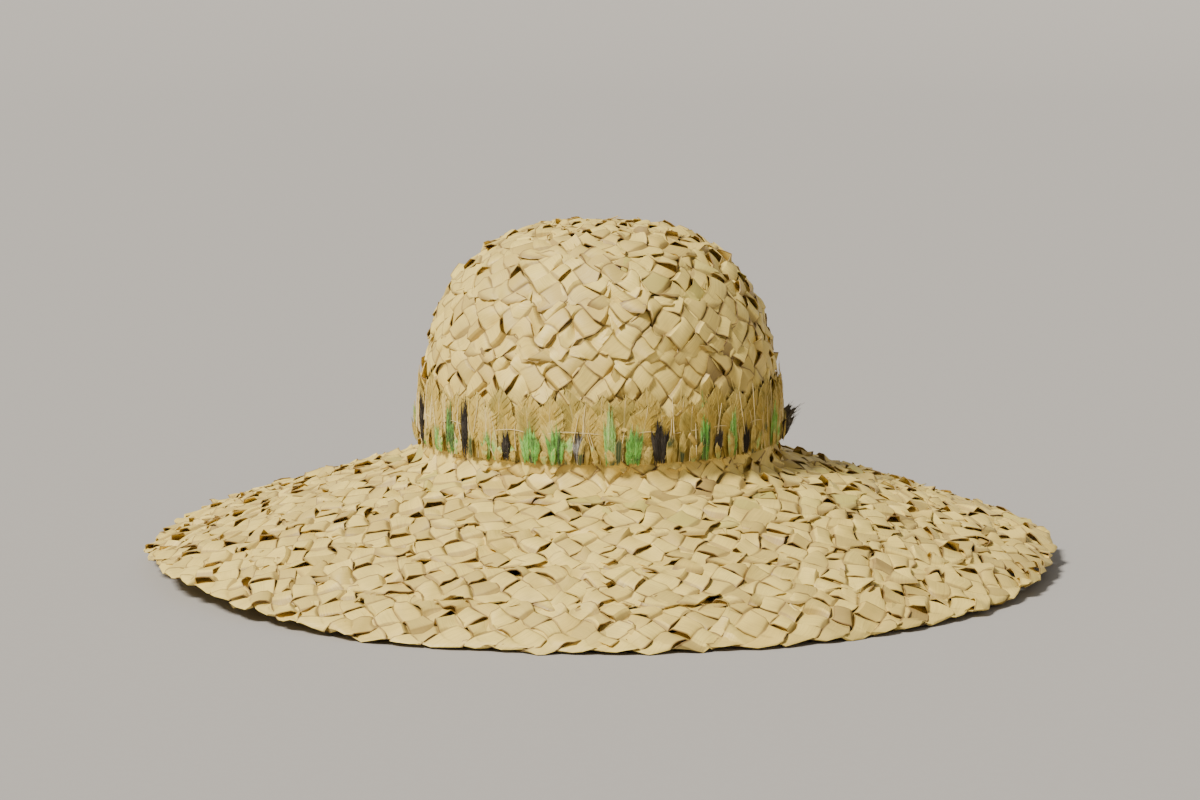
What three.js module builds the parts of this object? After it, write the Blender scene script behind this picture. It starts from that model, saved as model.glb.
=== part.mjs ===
// A capeline: a wide sun hat sewn from rows of leaf plait, with a band of small feathers round its crown.
// Millimetres, +Z up. The hat rests on its rim. The origin is on the floor under the middle of the
// crown, and the front of the hat faces -Y.
//
// Every piece is first drawn on a round hat, by an angle, a radius and a height. toHat then gives the
// crown its oval, the rim its width and length, and the brim the lift of its sides.

import * as THREE from 'three';
import { mergeVertices } from 'three/addons/utils/BufferGeometryUtils.js';

// The straw
const HEAD_WIDTH = 177; // inside the crown at its mouth, side to side
const HEAD_LENGTH = 187; // inside the crown at its mouth, front to back: a head of 57 cm
const RIM_WIDTH = 466;
const RIM_LENGTH = 476;
const DOME_HEIGHT = 103; // the rounded part of the crown
const DOME_FULLNESS = 2.6; // 2 is a plain quarter ellipse, more gives fuller shoulders
const CROWN_SIDE = 11; // upright wall between the mouth's turn and the dome
const MOUTH_TURN = 10; // radius of the turn from the crown's wall to the brim
const MOUTH_LIP = 2; // upright end of the brim, on which the crown is sewn
const BRIM_FALL = { crown: 15.5, rim: 24.5 }; // degrees below level, at the crown and at the rim
const CROWN_ROWS = 6; // rows of plait from the mouth to the top
const BRIM_ROWS = 5; // rows of plait from the mouth to the rim
const WALL_ROW = 2.6; // through the middle of a plait row
const WALL_SEAM = 1.4; // where two rows are sewn together
const RIB_SHOULDER = 0.18; // share of a row's width from its seam to its full thickness
const RIM_EDGE = 3; // height of the rim's folded edge
const RIM_FLAT = 3; // width of the rim's edge where it lies on the floor
const SEWN_GAP = 0.3; // between pieces that lie on each other

// Where the sides of the brim lift off the floor: the middle of each wave and its half width, in degrees
// from the front to the wearer's left, which is +X, and its height at the rim
const BRIM_WAVES = [
  { angle: -65, reach: 45, lift: 9 },
  { angle: -122, reach: 40, lift: 9 },
  { angle: 95, reach: 55, lift: 8 },
];

// The feather band
const BAND_FOOT = 1; // from the crown's foot, measured up its wall
const BAND_THICKNESS = 1.2;
const LOCK_COUNT = 44; // golden locks side by side, fused to the band that they are tied to
const LOCK_RISES = [28, 32, 29, 34, 30, 33]; // lengths, in turn round the band
const LOCK_SPLIT = 20; // height at which neighbouring locks part
const LOCK_SWELL = 0.9; // how far the middle of a lock stands out from its edges
const LOCK_TAPER = 0.7; // share of a lock's rise above which it thins to its tip
const PLUME_THICKNESS = 0.9;
// Outlines of the coloured feathers, in shares of their half width and of their rise
const QUILL = { foot: 0.4, broadest: 0.6, shoulder: { aside: 0.8, up: 0.9 } };
const TUFT = { foot: 0.35, notch: 0.65, outerTip: 0.85 };

// Coloured feathers in front of the golden ones, across the front of the hat. The tip stands out by lean.
const FRONT_PLUMES = [
  { angle: -59, tint: 'green', width: 7, rise: 13, lean: 1 },
  { angle: -52, tint: 'green', width: 7, rise: 25, lean: 1 },
  { angle: -45, tint: 'black', width: 5, rise: 31, lean: 1 },
  { angle: -36, tint: 'green', width: 5, rise: 14, lean: 1 },
  { angle: -29, tint: 'black', width: 5, rise: 15, lean: 1 },
  { angle: -21, tint: 'green', width: 10, rise: 19, lean: 2 },
  { angle: -13, tint: 'green', width: 8, rise: 20, lean: 2 },
  { angle: -6, tint: 'black', width: 6, rise: 17, lean: 1 },
  { angle: 3, tint: 'green', width: 6, rise: 32, lean: 1 },
  { angle: 10, tint: 'green', width: 8, rise: 21, lean: 2 },
  { angle: 18, tint: 'black', width: 8, rise: 24, lean: 2 },
  { angle: 33, tint: 'green', width: 6, rise: 32, lean: 1 },
  { angle: 38, tint: 'black', width: 5, rise: 17, lean: 1 },
  { angle: 44, tint: 'green', width: 6, rise: 23, lean: 1 },
  { angle: 50, tint: 'black', width: 5, rise: 15, lean: 1 },
  { angle: 67, tint: 'green', width: 7, rise: 23, lean: 2 },
  { angle: 82, tint: 'black', width: 8, rise: 15, lean: 5 },
  { angle: 98, tint: 'black', width: 10, rise: 16, lean: 9 },
];
// Round the back they follow in an even order.
const BACK_PLUMES = { from: 114, to: 288, count: 12, width: 7, rises: [22, 16, 27], lean: 1.5 };

// Fineness of the faceted walls
const BRIM_SEGMENTS = 72;
const CROWN_SEGMENTS = 48;
const LOCK_SEGMENTS = 4;
const PLUME_CURVE_SEGMENTS = 3;
const WELD = 1e-4; // points nearer to each other than this become one

// Sizes that follow from those
const MOUTH_HALF = { width: (HEAD_WIDTH + WALL_ROW) / 2, length: (HEAD_LENGTH + WALL_ROW) / 2 };
const MOUTH_RADIUS = (MOUTH_HALF.width + MOUTH_HALF.length) / 2;
const RIM_RADIUS = (RIM_WIDTH + RIM_LENGTH) / 4;
const BAND_INNER = WALL_ROW / 2 + SEWN_GAP; // out from the middle of the crown's wall
const PLUME_INNER = BAND_INNER + BAND_THICKNESS + SEWN_GAP; // the same, at a plume's foot

const radians = THREE.MathUtils.degToRad;

function brimLift(angle) {
  let lift = 0;
  for (const wave of BRIM_WAVES) {
    const turn = THREE.MathUtils.euclideanModulo(angle - radians(wave.angle) + Math.PI, 2 * Math.PI);
    const share = Math.min(Math.abs(turn - Math.PI) / radians(wave.reach), 1);
    lift += wave.lift * 0.5 * (1 + Math.cos(Math.PI * share));
  }
  return lift;
}

// A point of the round hat, moved to its place on the oval one
function toHat(angle, radius, height) {
  const inside = Math.min(radius / MOUTH_RADIUS, 1);
  const across = Math.max((radius - MOUTH_RADIUS) / (RIM_RADIUS - MOUTH_RADIUS), 0);
  const halfWidth = inside * MOUTH_HALF.width + across * (RIM_WIDTH / 2 - MOUTH_HALF.width);
  const halfLength = inside * MOUTH_HALF.length + across * (RIM_LENGTH / 2 - MOUTH_HALF.length);
  return new THREE.Vector3(
    halfWidth * Math.sin(angle),
    -halfLength * Math.cos(angle),
    height + brimLift(angle) * across ** 2,
  );
}

// The line that a wall's middle follows in section: x is the radius and y the height

class DomeLine extends THREE.Curve {
  constructor(foot) {
    super();
    this.foot = foot;
  }

  getPoint(t) {
    const turn = (t * Math.PI) / 2;
    const power = 2 / DOME_FULLNESS;
    const radius = MOUTH_RADIUS * Math.max(Math.cos(turn), 0) ** power;
    const rise = (DOME_HEIGHT - WALL_ROW / 2) * Math.sin(turn) ** power;
    return new THREE.Vector2(t === 1 ? 0 : radius, this.foot + rise);
  }
}

function brimLine() {
  const fall = { crown: radians(BRIM_FALL.crown), rim: radians(BRIM_FALL.rim) };
  const rim = new THREE.Vector2(RIM_RADIUS - (WALL_ROW / 2) * Math.sin(fall.rim), RIM_EDGE / 2);
  const turnEnd = new THREE.Vector2(MOUTH_RADIUS + MOUTH_TURN * (1 - Math.sin(fall.crown)), 0);
  const halfRun = (rim.x - turnEnd.x) / 2;
  const middle = new THREE.Vector2(rim.x - halfRun, rim.y + halfRun * Math.tan(fall.rim));
  turnEnd.y = middle.y + halfRun * Math.tan(fall.crown);
  const turnHeight = turnEnd.y + MOUTH_TURN * Math.cos(fall.crown);

  const line = new THREE.Path();
  line.moveTo(MOUTH_RADIUS, turnHeight + MOUTH_LIP);
  line.lineTo(MOUTH_RADIUS, turnHeight);
  line.absarc(MOUTH_RADIUS + MOUTH_TURN, turnHeight, MOUTH_TURN, Math.PI, 1.5 * Math.PI - fall.crown);
  line.quadraticCurveTo(middle.x, middle.y, rim.x, rim.y);
  return { line, turnHeight };
}

function crownLine(turnHeight) {
  const foot = new THREE.Vector2(MOUTH_RADIUS, turnHeight + MOUTH_LIP + SEWN_GAP);
  const shoulder = new THREE.Vector2(MOUTH_RADIUS, turnHeight + CROWN_SIDE);
  const line = new THREE.CurvePath();
  line.add(new THREE.LineCurve(foot, shoulder));
  line.add(new DomeLine(shoulder.y));
  return line;
}

const { line: BRIM_LINE, turnHeight: TURN_HEIGHT } = brimLine();
const CROWN_LINE = crownLine(TURN_HEIGHT);
const CROWN_LENGTH = CROWN_LINE.getLength();

// The two faces of a plaited wall in section. Each row is a low rib between two thinner seams.
function plaitFaces(line, rows) {
  const shoulders = [
    { share: 0, wall: WALL_SEAM },
    { share: RIB_SHOULDER, wall: WALL_ROW },
    { share: 1 - RIB_SHOULDER, wall: WALL_ROW },
  ];
  const upper = [];
  const lower = [];
  const addStation = (share, wall) => {
    const middle = line.getPoint(share);
    const along = line.getTangent(share);
    const across = new THREE.Vector2(-along.y, along.x).multiplyScalar(wall / 2);
    upper.push(middle.clone().add(across));
    lower.push(middle.clone().sub(across));
  };
  for (let row = 0; row < rows; row++) {
    for (const { share, wall } of shoulders) addStation((row + share) / rows, wall);
  }
  addStation(1, WALL_ROW);
  return { upper, lower };
}

// A section turned round the hat's axis. place gives each of its points a spot on the round hat.
function turned(section, segments, place = (angle, radius, height) => ({ angle, radius, height })) {
  const geometry = new THREE.LatheGeometry(section, segments);
  const position = geometry.attributes.position;
  for (let i = 0; i < position.count; i++) {
    const [x, y, z] = [position.getX(i), position.getY(i), position.getZ(i)];
    const spot = place(Math.atan2(x, z), Math.hypot(x, z), y);
    position.setXYZ(i, ...toHat(spot.angle, spot.radius, spot.height));
  }
  return welded(geometry);
}

function welded(geometry) {
  geometry.deleteAttribute('normal');
  geometry.deleteAttribute('uv');
  return mergeVertices(geometry, WELD);
}

function crownGeometry() {
  const { upper: inside, lower: outside } = plaitFaces(CROWN_LINE, CROWN_ROWS);
  const innerTop = new THREE.Vector2(0, inside.at(-1).y);
  const outerTop = new THREE.Vector2(0, outside.at(-1).y);
  const section = [innerTop, ...inside.slice(0, -1).reverse(), ...outside.slice(0, -1), outerTop];
  return turned(section, CROWN_SEGMENTS);
}

function brimGeometry() {
  const { upper: top, lower: underside } = plaitFaces(BRIM_LINE, BRIM_ROWS);
  const rimFlat = [new THREE.Vector2(RIM_RADIUS - RIM_FLAT, 0), new THREE.Vector2(RIM_RADIUS, 0)];
  const section = [...underside.slice(0, -1), ...rimFlat, ...top.reverse(), underside[0].clone()];
  return turned(section, BRIM_SEGMENTS);
}

// A point on the outside of the crown, a length up its wall from its foot and a distance out from its middle
function onCrown(angle, climb, out) {
  const share = climb / CROWN_LENGTH;
  const middle = CROWN_LINE.getPoint(share);
  const along = CROWN_LINE.getTangent(share);
  return { angle, radius: middle.x + along.y * out, height: middle.y - along.x * out };
}

// A point of the golden locks, by its angle, its distance out and its share of the lock's rise
function onLocks(angle, out, share) {
  const turn = THREE.MathUtils.euclideanModulo((angle * LOCK_COUNT) / (2 * Math.PI), LOCK_COUNT);
  const fullness = 1 - (2 * (turn % 1) - 1) ** 2;
  const tip = LOCK_RISES[Math.floor(turn) % LOCK_RISES.length];
  const rise = LOCK_SPLIT + (tip - LOCK_SPLIT) * fullness;
  const swell = out > BAND_INNER ? LOCK_SWELL * fullness * Math.sin(Math.PI * share) : 0;
  return onCrown(angle, BAND_FOOT + share * rise, out + swell);
}

// The locks stand side by side on one band. Its section is drawn with the distance out from the middle of
// the crown's wall as its radius and the share of a lock's rise as its height.
function featherBandGeometry() {
  const face = (out, shares) => shares.map((share) => new THREE.Vector2(out, share));
  const outer = face(BAND_INNER + BAND_THICKNESS, [0, LOCK_TAPER]);
  const tip = face(BAND_INNER + BAND_THICKNESS / 2, [1]);
  const inner = face(BAND_INNER, [LOCK_TAPER, 0]);
  const section = [...outer, ...tip, ...inner, outer[0].clone()];
  return turned(section, LOCK_COUNT * LOCK_SEGMENTS, onLocks);
}

// A flat feather shape, bent round the crown in front of the locks, its tip standing out by lean
function featherGeometry(shape, { angle, rise, lean }) {
  const geometry = new THREE.ExtrudeGeometry(shape, {
    depth: PLUME_THICKNESS,
    bevelEnabled: false,
    curveSegments: PLUME_CURVE_SEGMENTS,
  });
  const position = geometry.attributes.position;
  for (let i = 0; i < position.count; i++) {
    const [aside, up, depth] = [position.getX(i), position.getY(i), position.getZ(i)];
    const turn = radians(angle) + aside / MOUTH_RADIUS;
    const overLocks = LOCK_SWELL * Math.min(up / LOCK_SPLIT, 1);
    const spot = onCrown(turn, BAND_FOOT + up, PLUME_INNER + overLocks + lean * (up / rise) ** 2 + depth);
    position.setXYZ(i, ...toHat(spot.angle, spot.radius, spot.height));
  }
  return welded(geometry);
}

function quillShape(width, rise) {
  const half = width / 2;
  const shoulder = { aside: half * QUILL.shoulder.aside, up: rise * QUILL.shoulder.up };
  const shape = new THREE.Shape();
  shape.moveTo(-half * QUILL.foot, 0);
  shape.lineTo(half * QUILL.foot, 0);
  shape.lineTo(half, rise * QUILL.broadest);
  shape.quadraticCurveTo(shoulder.aside, shoulder.up, 0, rise);
  shape.quadraticCurveTo(-shoulder.aside, shoulder.up, -half, rise * QUILL.broadest);
  return shape;
}

function tuftShape(width, rise) {
  const half = width / 2;
  const shape = new THREE.Shape();
  shape.moveTo(-half * TUFT.foot, 0);
  shape.lineTo(half * TUFT.foot, 0);
  shape.lineTo(half, rise * TUFT.outerTip);
  shape.lineTo(half * TUFT.foot, rise * TUFT.notch);
  shape.lineTo(0, rise);
  shape.lineTo(-half * TUFT.foot, rise * TUFT.notch);
  shape.lineTo(-half, rise * TUFT.outerTip);
  return shape;
}

const SHAPES = { green: quillShape, black: tuftShape };

function backPlumes() {
  const { from, to, count, width, rises, lean } = BACK_PLUMES;
  return Array.from({ length: count }, (_, i) => ({
    angle: from + ((to - from) * i) / (count - 1),
    tint: i % 2 ? 'black' : 'green',
    width,
    rise: rises[i % rises.length],
    lean,
  }));
}

const STRAW = new THREE.MeshStandardMaterial({ color: 0xd6bd8a, roughness: 0.7, metalness: 0 });
const GOLD_FEATHER = new THREE.MeshStandardMaterial({ color: 0xa88a4a, roughness: 0.85, metalness: 0 });
const PLUME_MATERIALS = {
  green: new THREE.MeshStandardMaterial({ color: 0x5fa53a, roughness: 0.75, metalness: 0 }),
  black: new THREE.MeshStandardMaterial({ color: 0x26211e, roughness: 0.6, metalness: 0 }),
};

function piece(name, geometry, material) {
  const mesh = new THREE.Mesh(geometry, material);
  mesh.name = name;
  geometry.computeVertexNormals();
  return mesh;
}

function featherBand() {
  const band = new THREE.Group();
  band.add(piece('feather_band', featherBandGeometry(), GOLD_FEATHER));
  const made = { green: 0, black: 0 };
  for (const plume of [...FRONT_PLUMES, ...backPlumes()]) {
    made[plume.tint] += 1;
    const shape = SHAPES[plume.tint](plume.width, plume.rise);
    const name = `plume_${plume.tint}_${made[plume.tint]}`;
    band.add(piece(name, featherGeometry(shape, plume), PLUME_MATERIALS[plume.tint]));
  }
  return band;
}

const hat = new THREE.Group();
hat.add(piece('crown', crownGeometry(), STRAW));
hat.add(piece('brim', brimGeometry(), STRAW));
hat.add(featherBand());

export default hat;
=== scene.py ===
"""Looks of a capeline: its plaited leaf strips, its feather band and a plain studio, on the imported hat.

Lengths are in metres. Angles round the hat start at its front, which faces -Y, and grow towards +X.
"""

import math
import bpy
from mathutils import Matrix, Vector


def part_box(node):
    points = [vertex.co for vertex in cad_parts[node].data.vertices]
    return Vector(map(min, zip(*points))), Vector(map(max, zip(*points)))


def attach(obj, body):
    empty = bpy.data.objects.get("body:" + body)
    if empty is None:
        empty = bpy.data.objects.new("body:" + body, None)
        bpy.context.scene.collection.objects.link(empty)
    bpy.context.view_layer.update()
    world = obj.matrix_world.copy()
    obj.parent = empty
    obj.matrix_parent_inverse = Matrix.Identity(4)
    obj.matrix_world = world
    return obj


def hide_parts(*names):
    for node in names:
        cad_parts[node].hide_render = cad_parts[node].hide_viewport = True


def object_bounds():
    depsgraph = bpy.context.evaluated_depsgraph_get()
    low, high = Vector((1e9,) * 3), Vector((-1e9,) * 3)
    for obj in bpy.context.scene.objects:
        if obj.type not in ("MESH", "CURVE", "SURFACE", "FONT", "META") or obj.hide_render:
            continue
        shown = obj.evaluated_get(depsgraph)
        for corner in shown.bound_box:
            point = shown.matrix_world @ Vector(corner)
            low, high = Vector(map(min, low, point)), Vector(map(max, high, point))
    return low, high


bl_info = {
    "name": "Plaited Capeline",
    "version": (1, 0, 0),
    "blender": (4, 5, 0),
    "location": "View3D > Sidebar > Capeline",
    "description": "Plaits a wide sun hat from leaf strips, ties a feather band round it and lights it",
    "category": "Object",
}

from dataclasses import dataclass
from types import SimpleNamespace

import bmesh
import bpy
import numpy as np
from mathutils import Vector

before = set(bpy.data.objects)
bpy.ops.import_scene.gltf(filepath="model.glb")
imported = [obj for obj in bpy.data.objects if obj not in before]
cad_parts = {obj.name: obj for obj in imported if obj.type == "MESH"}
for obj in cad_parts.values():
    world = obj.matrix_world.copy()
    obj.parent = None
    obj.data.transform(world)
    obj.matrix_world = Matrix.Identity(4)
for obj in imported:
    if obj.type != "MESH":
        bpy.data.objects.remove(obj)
CAD_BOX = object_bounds()
BRIM_LOW, BRIM_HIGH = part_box("brim")
CROWN_LOW, CROWN_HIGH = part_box("crown")

FULL_TURN = 2 * math.pi
WELD = 1e-5  # points nearer to each other than this are one
SHARP = math.radians(38)  # faces that meet at more than this show an edge
# Points on the curves of the walls, and on the bend and round of the floor
DOME_POINTS, MOUTH_POINTS, SLOPE_POINTS = 400, 40, 200
BEND_POINTS, FLOOR_STEPS = 9, 72

# Seeds of each piece's random draws. Rows of plait count on from theirs.
SEEDS = {
    "brim_plait": 11,
    "crown_tip": 31,
    "crown_plait": 41,
    "brim_slivers": 61,
    "crown_slivers": 62,
    "golden_feathers_back": 71,
    "golden_feathers_front": 72,
    "foot_fringe": 73,
    "binding_thread": 74,
    "green_plumes": 81,
    "black_plumes": 82,
}

# A flat plait of five strands. A strand crosses the row in five steps and comes back in five, and at each
# step it lies over (1) or under (-1) the strand that it meets. At an edge (0) it folds.
STRANDS = 5
CROSSINGS = np.array([0, 1, -1, 1, -1, 0, 1, -1, 1, -1])
OVER_STEPS = [step for step, level in enumerate(CROSSINGS) if level == 1]
ROUND_TRIP = len(CROSSINGS)
# Where a strip has cross lines within one step: close together where it dives under the next strand
STATIONS = np.array([0.0, 0.3, 0.43, 0.57, 0.7])
DIVE = 0.28  # share of a step in which it dives
# More cross lines on both sides of a fold, and the power that makes the fold round
FOLD_STATIONS = np.array([-0.15, -0.05, 0.05, 0.15])
FOLD_ROUND = 0.45
STRIP_COLUMNS = 3
LEAF_STEPS = (15, 34)  # steps that one leaf goes, from and to
LAST_LEAF = 9  # steps that are left at least for the last leaf of a strand
# How a row's plait wanders: waves each way, their longest and shortest in steps, and their slant over a step
WANDER = SimpleNamespace(waves=6, longest=6, shortest=2, slant=1.3)
# How crossings differ: in width, as a share of the plait's unevenness; in pitch, height and curl, as shares
# of its tilt; in lying over or under the next row; and the share of a step in which the tilt fades out
FACET = SimpleNamespace(width=1.1, pitch=1.4, push=0.4, curl=0.4, sides=1.1, fade=0.2)
# Darkening towards a seam or a dive is painted shade, for the shadow in the notches between folds and where a
# strip dives
JOINT_LIFT = 0.6  # how far the ends of two leaves part where they are joined, in thicknesses of a leaf
SEAM_START = 0.72  # where a row darkens towards its seam, as a share of half its width
DIP_START = 0.3  # where a strip darkens towards a dive, in steps from its crossing
# How quickly the stain grows towards the seam, and the clean part of half a row
STAIN_GROWTH, STAIN_CLEAN = 1.4, 0.1
# The woven tip of the crown: its turn against the hat, the tints of its strips, from and to, and how near to
# its edge the middle of a strip may be, in strips
TIP_TURN = math.radians(28)
TIP_TINTS = (0.2, 0.9)
TIP_MARGIN = 0.25

# Values of the small parts. Pairs are from and to where nothing else is said, and spreads are about a middle.
# Loose leaf ends
SLIVER = SimpleNamespace(
    segments=3,
    lengths=(0.004, 0.009),
    widths=(0.0012, 0.0030),
    narrowing=0.85,  # of the tip
    scatter=0.002,  # spread about the seam
    root=0.0011,  # from the middle of the wall
    tip=(0.0004, 0.0020),  # further out than the root
    bend=1.5,  # power of the curve from root to tip
    thickness=0.7,  # in thicknesses of a strip
)
# A feather's closed vane
VANE = SimpleNamespace(
    swell_up=0.0008,  # out of the wall, along the shaft
    swell_across=0.0006,
    tip_power=2.4,  # round of the tip
    tip_least=0.004,  # least width there, squared
    edge=0.9,  # share of the half width at which the ragged edge starts
    edge_foot=0.1,  # share of the rise at which it starts
    ragged=0.06,  # spread
    width=0.9,  # shares of the feather that it fills
    rise=0.97,
    drop=0.05,  # of its edges
    tint=0.06,  # spread
)
# A feather's loose barbs, in shares of its rise and half width
BARB = SimpleNamespace(
    segments=2,
    first=0.08,  # start of the lowest
    span=0.86,  # from there to the start of the highest
    climbs=(0.13, 0.20),
    climb_power=1.3,
    highest=0.985,
    root=0.3,
    reach=0.92,  # at least
    narrowing=0.8,  # of the tip
    proud=0.0002,  # of the vane
    prouder=0.0007,  # at most, at the tip
    tint=0.09,  # spread
)
# A feather's pale rib
SHAFT = SimpleNamespace(sides=4, radius=0.00021, tip=0.3, proud=0.0003)
# The two rings of golden feathers: shares of a feather's rise and width, distance from the crown's face, and
# turn in feathers
GOLDEN_RINGS = {
    "golden_feathers_back": SimpleNamespace(rise=1.03, width=1.0, out=0.0006, turn=0.0, has_quills=False),
    "golden_feathers_front": SimpleNamespace(rise=0.86, width=0.9, out=0.0013, turn=0.5, has_quills=True),
}
# How the golden feathers of a ring differ
GOLDEN = SimpleNamespace(
    vane=(4, 6),  # columns and rows
    barbs=10,  # on each side
    shaft=(0.6, 0.92),  # share of the rise
    place=0.16,  # spread, in feathers
    rise=0.08,  # spread
    rise_limits=(-0.16, 0.14),
    width=0.12,  # spread
    out=0.0003,  # at most
    lean=(0.0004, 0.0008),  # middle and spread
    sway=0.0022,  # spread
    tints=(0.34, 0.55),  # of foot and tip
    tint_spread=0.26,
    broadest=(0.58, 0.74),  # share of the rise
    sheen=0.3,
)
# The bare quills between them
QUILL = SimpleNamespace(foot=(0.001, 0.014), rise=(0.008, 0.022), out=0.0011, radius=0.00032)
# The small feathers at the foot
FRINGE = SimpleNamespace(
    vane=(2, 4),  # columns and rows
    barbs=3,  # on each side
    barb_width=0.0005,
    place=0.4,  # spread, in feathers
    rise=(0.55, 1.3),
    widths=(0.0022, 0.0050),
    depths=(0.0018, 0.0034),  # the one or the other, from the crown's face
    out=0.0004,  # at most
    lean=0.0010,  # at most
    sway=0.0012,  # spread
    broadest=0.5,  # share of the rise
)
# The binding thread
THREAD = SimpleNamespace(
    points=240,
    sides=6,
    out=0.0028,  # from the crown's face
    waves=7,
    turns=(3, 30),  # how often a wave comes round
    size=0.00045,  # spread
    in_and_out=0.5,  # against up and down
)
# What the blades of all coloured plumes share
PLUME = SimpleNamespace(
    vane=(3, 5),  # columns and rows
    barb_width=0.0005,
    barb_stray=0.5,
    spread=0.3,  # of the blades' feet to each side, as a share of the plume's width
    outer_drop=0.24,  # how much shorter the outermost are
    drop_power=1.5,
    foot=(-0.0008, 0.0014),
    rise=(-0.22, 0.04),
    width=(0.85, 1.2),
    lean=(0.7, 1.0),
    out=0.0022,  # from the crown's face
    layers=3,
    layer=0.0002,  # from one layer of blades to the next
    fan=0.12,  # sway of the outermost, as a share of the plume's width
    fan_by_lean=40,  # more of it for each metre of lean
    sway=0.0006,  # spread
    tint=0.08,  # spread
    twist=0.12,  # spread
    base=0.2,  # width of a blade's foot
    stands_out=0.002,  # lean of a tuft that stands out of the band
    standing_twist=math.radians(65),
    standing_width=2.4,
)
# Of each colour: blades in a plume, a blade's width as a share of the plume's, where it is broadest, its
# barbs on each side, its sheen, and the tints of the plumes at foot and tip, in the order of their nodes
GREEN_PLUME = SimpleNamespace(
    blades=8,
    width=0.24,
    broadest=0.55,
    barbs=7,
    sheen=0.2,
    tints=np.array([
        (0.55, 0.70), (0.05, 0.20), (0.60, 0.75), (0.35, 0.45), (0.20, 0.40),
        (0.60, 0.80), (0.30, 0.45), (0.00, 0.50), (0.40, 0.50), (0.45, 0.60),
    ]),
)
BLACK_PLUME = SimpleNamespace(
    blades=7,
    width=0.22,
    broadest=0.68,
    barbs=7,
    sheen=0.1,
    tints=np.array([
        (0.2, 0.1), (0.1, 0.3), (0.1, 1.0), (0.1, 0.2), (0.1, 0.3), (0.2, 0.2), (0.1, 0.4), (0.1, 0.5),
    ]),
)
BAND_SWELL = 0.0009  # of the golden feathers' solid, which the solid of a plume follows
PLUME_END = 1e-4  # points of the solid this near to its top or foot belong to it


# Properties


def length_prop(name, description, default):
    return bpy.props.FloatProperty(name=name, description=description, default=default, unit="LENGTH")


def angle_prop(name, description, degrees):
    turn = math.radians(degrees)
    return bpy.props.FloatProperty(name=name, description=description, default=turn, subtype="ANGLE")


def angles_prop(name, description, degrees):
    turns = [math.radians(turn) for turn in degrees]
    return bpy.props.FloatVectorProperty(name=name, description=description, default=turns, subtype="EULER")


def share_prop(name, description, default):
    return bpy.props.FloatProperty(name=name, description=description, default=default, subtype="FACTOR")


def number_prop(name, description, default):
    return bpy.props.FloatProperty(name=name, description=description, default=default)


def count_prop(name, description, default):
    return bpy.props.IntProperty(name=name, description=description, default=default)


def colour_prop(name, description, default):
    return bpy.props.FloatVectorProperty(name=name, description=description, default=default, subtype="COLOR")


class CapelineShape(bpy.types.PropertyGroup):
    """Form of the walls that the plait follows."""

    wall: length_prop("Wall", "Thickness of the plaited wall", 0.0026)
    rim_width: length_prop("Rim Width", "Brim from side to side", BRIM_HIGH.x - BRIM_LOW.x)
    rim_length: length_prop("Rim Length", "Brim from front to back", BRIM_HIGH.y - BRIM_LOW.y)
    crown_width: length_prop(
        "Crown Width", "Outside of the crown at its mouth, from side to side", CROWN_HIGH.x - CROWN_LOW.x
    )
    crown_length: length_prop(
        "Crown Length", "Outside of the crown at its mouth, from front to back", CROWN_HIGH.y - CROWN_LOW.y
    )
    crown_foot: length_prop("Crown Foot", "Height of the crown's lower edge", CROWN_LOW.z)
    crown_top: length_prop("Crown Top", "Height of the crown's top", CROWN_HIGH.z)
    crown_side: length_prop("Crown Side", "Upright wall from the crown's foot to its dome", 0.0087)
    dome_fullness: number_prop("Dome Fullness", "2 is a plain ellipse, more gives fuller shoulders", 2.6)
    mouth_turn: length_prop("Mouth Turn", "Radius of the turn from crown to brim", 0.010)
    mouth_lip: length_prop("Mouth Lip", "Upright end of the brim below the crown's foot", 0.0023)
    fall_at_crown: angle_prop("Fall at Crown", "Slope of the brim beside the crown", 15.5)
    fall_at_rim: angle_prop("Fall at Rim", "Slope of the brim at its rim", 24.5)
    rim_edge: length_prop("Rim Edge", "Height of the rim's folded edge", 0.003)
    wave_angles: angles_prop("Wave Angles", "Where the sides of the brim lift", (-65, -122, 95))
    wave_reaches: angles_prop("Wave Reaches", "Half width of each lifted stretch", (45, 40, 55))
    wave_lifts: bpy.props.FloatVectorProperty(
        name="Wave Lifts",
        description="Height of each lifted stretch at the rim",
        default=(0.009, 0.009, 0.008),
        subtype="XYZ_LENGTH",
    )


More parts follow.
